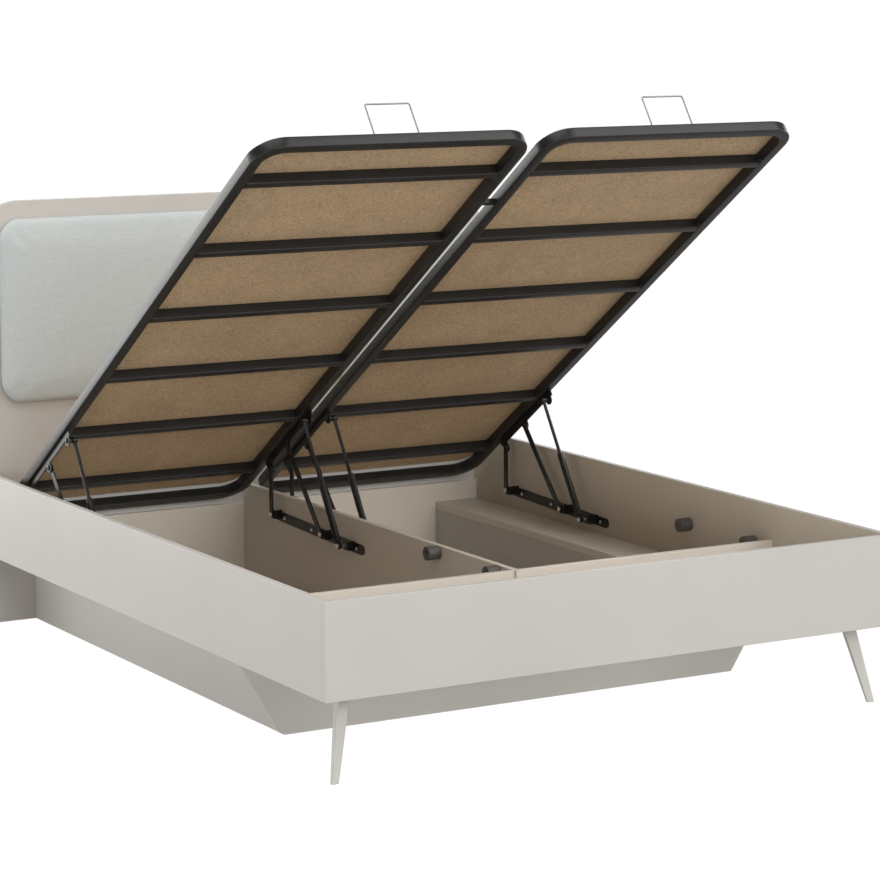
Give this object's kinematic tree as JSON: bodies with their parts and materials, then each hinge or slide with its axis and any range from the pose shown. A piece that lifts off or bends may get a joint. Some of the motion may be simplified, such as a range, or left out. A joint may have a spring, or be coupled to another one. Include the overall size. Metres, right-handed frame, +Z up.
{
  "type": "storage bed",
  "caption": "Double bed with a hinged gas-lift platform of bent-tube frames over a divided storage box, slanted plinth, splayed foot legs and a padded headboard.",
  "frame": {"origin": "on the floor, under the middle of the bed's overall length and width", "axes": "+Y from the foot end to the headboard, +X to the right seen from the foot end, +Z up"},
  "size_m": [1.66, 2.093, 1.557],
  "materials": {
    "lacquer": "satin greige lacquer on board",
    "upholstery": "fine grey weave",
    "particle_board": "raw speckled particle board",
    "frame_paint": "satin charcoal powder coat",
    "mechanism_paint": "black powder coat",
    "bright_steel": "bright zinc",
    "chrome_wire": "polished wire",
    "peg_rubber": "matt dark grey"
  },
  "bodies": {
    "bed_base": {"divider": "lacquer", "floor_board_left": "lacquer", "floor_board_right": "lacquer", "foot_rail": "lacquer", "head_panel": "lacquer", "headboard_panel": "lacquer", "ledge_left": "lacquer", "ledge_right": "lacquer", "leg_blocks": "lacquer", "legs": "lacquer", "partition_left": "lacquer", "partition_right": "lacquer", "plinth_front": "lacquer", "plinth_side_left": "lacquer", "plinth_side_right": "lacquer", "side_rail_left": "lacquer", "side_rail_right": "lacquer", "headboard_pad": "upholstery", "rest_pegs": "peg_rubber", "fixing_screws": "bright_steel", "base_pins": "bright_steel", "base_strip_left_rail": "mechanism_paint", "base_strip_left_divider": "mechanism_paint", "base_strip_right_divider": "mechanism_paint", "base_strip_right_rail": "mechanism_paint"},
    "lift_platform": {"frame_tubes_left": "frame_paint", "frame_tubes_right": "frame_paint", "frame_bends_left": "frame_paint", "frame_bends_right": "frame_paint", "cross_bars_left": "frame_paint", "cross_bars_right": "frame_paint", "board_left": "particle_board", "board_right": "particle_board", "retainers": "chrome_wire", "frame_tie": "mechanism_paint"},
    "upper_strips": {"upper_strip_left_rail": "mechanism_paint", "upper_strip_left_divider": "mechanism_paint", "upper_strip_right_divider": "mechanism_paint", "upper_strip_right_rail": "mechanism_paint", "strip_pins": "bright_steel"},
    "rear_links": {"rear_link_left_rail": "mechanism_paint", "rear_link_left_divider": "mechanism_paint", "rear_link_right_divider": "mechanism_paint", "rear_link_right_rail": "mechanism_paint", "rear_link_rivets": "bright_steel"},
    "front_links": {"front_link_left_rail": "mechanism_paint", "front_link_left_divider": "mechanism_paint", "front_link_right_divider": "mechanism_paint", "front_link_right_rail": "mechanism_paint", "front_link_rivets": "bright_steel"},
    "strut_rods": {"strut_rod_left_rail": "mechanism_paint", "strut_rod_left_divider": "mechanism_paint", "strut_rod_right_divider": "mechanism_paint", "strut_rod_right_rail": "mechanism_paint"},
    "strut_cylinders": {"strut_cylinder_left_rail": "mechanism_paint", "strut_cylinder_left_divider": "mechanism_paint", "strut_cylinder_right_divider": "mechanism_paint", "strut_cylinder_right_rail": "mechanism_paint", "strut_rivets": "bright_steel"}
  },
  "joints": [
    {"name": "platform_lift", "type": "hinge", "parent": "bed_base", "child": "lift_platform", "pos_m": [0, 0.9374, 0.34015], "axis": [1, 0, 0], "range_deg": [0, 34.72], "stiffness_Nm_per_rad": 890, "springref_deg": -24.92},
    {"name": "strip_slide", "type": "slide", "parent": "lift_platform", "child": "upper_strips", "axis": [0, 0.8219, -0.5696], "range_m": [0, 0.14631]},
    {"name": "rear_link_turn", "type": "hinge", "parent": "upper_strips", "child": "rear_links", "pos_m": [0, 0.77578, 0.42277], "axis": [1, 0, 0], "range_deg": [-112.46, 0]},
    {"name": "front_link_turn", "type": "hinge", "parent": "upper_strips", "child": "front_links", "pos_m": [0, 0.66855, 0.5068], "axis": [1, 0, 0], "range_deg": [-74.68, 0]},
    {"name": "strut_turn", "type": "hinge", "parent": "upper_strips", "child": "strut_rods", "pos_m": [0, 0.53758, 0.60047], "axis": [1, 0, 0], "range_deg": [-80.95, 0]},
    {"name": "strut_slide", "type": "slide", "parent": "strut_rods", "child": "strut_cylinders", "axis": [0, 0.5347, 0.8451], "range_m": [0, 0.10729]}
  ],
  "couplings": [
    {"joint": "strip_slide", "follows": "platform_lift", "m_per_rad": 0.24129},
    {"joint": "rear_link_turn", "follows": "platform_lift", "ratio": -3.2386},
    {"joint": "front_link_turn", "follows": "platform_lift", "ratio": -2.1507},
    {"joint": "strut_turn", "follows": "platform_lift", "ratio": -2.3312},
    {"joint": "strut_slide", "follows": "platform_lift", "m_per_rad": 0.17688}
  ]
}
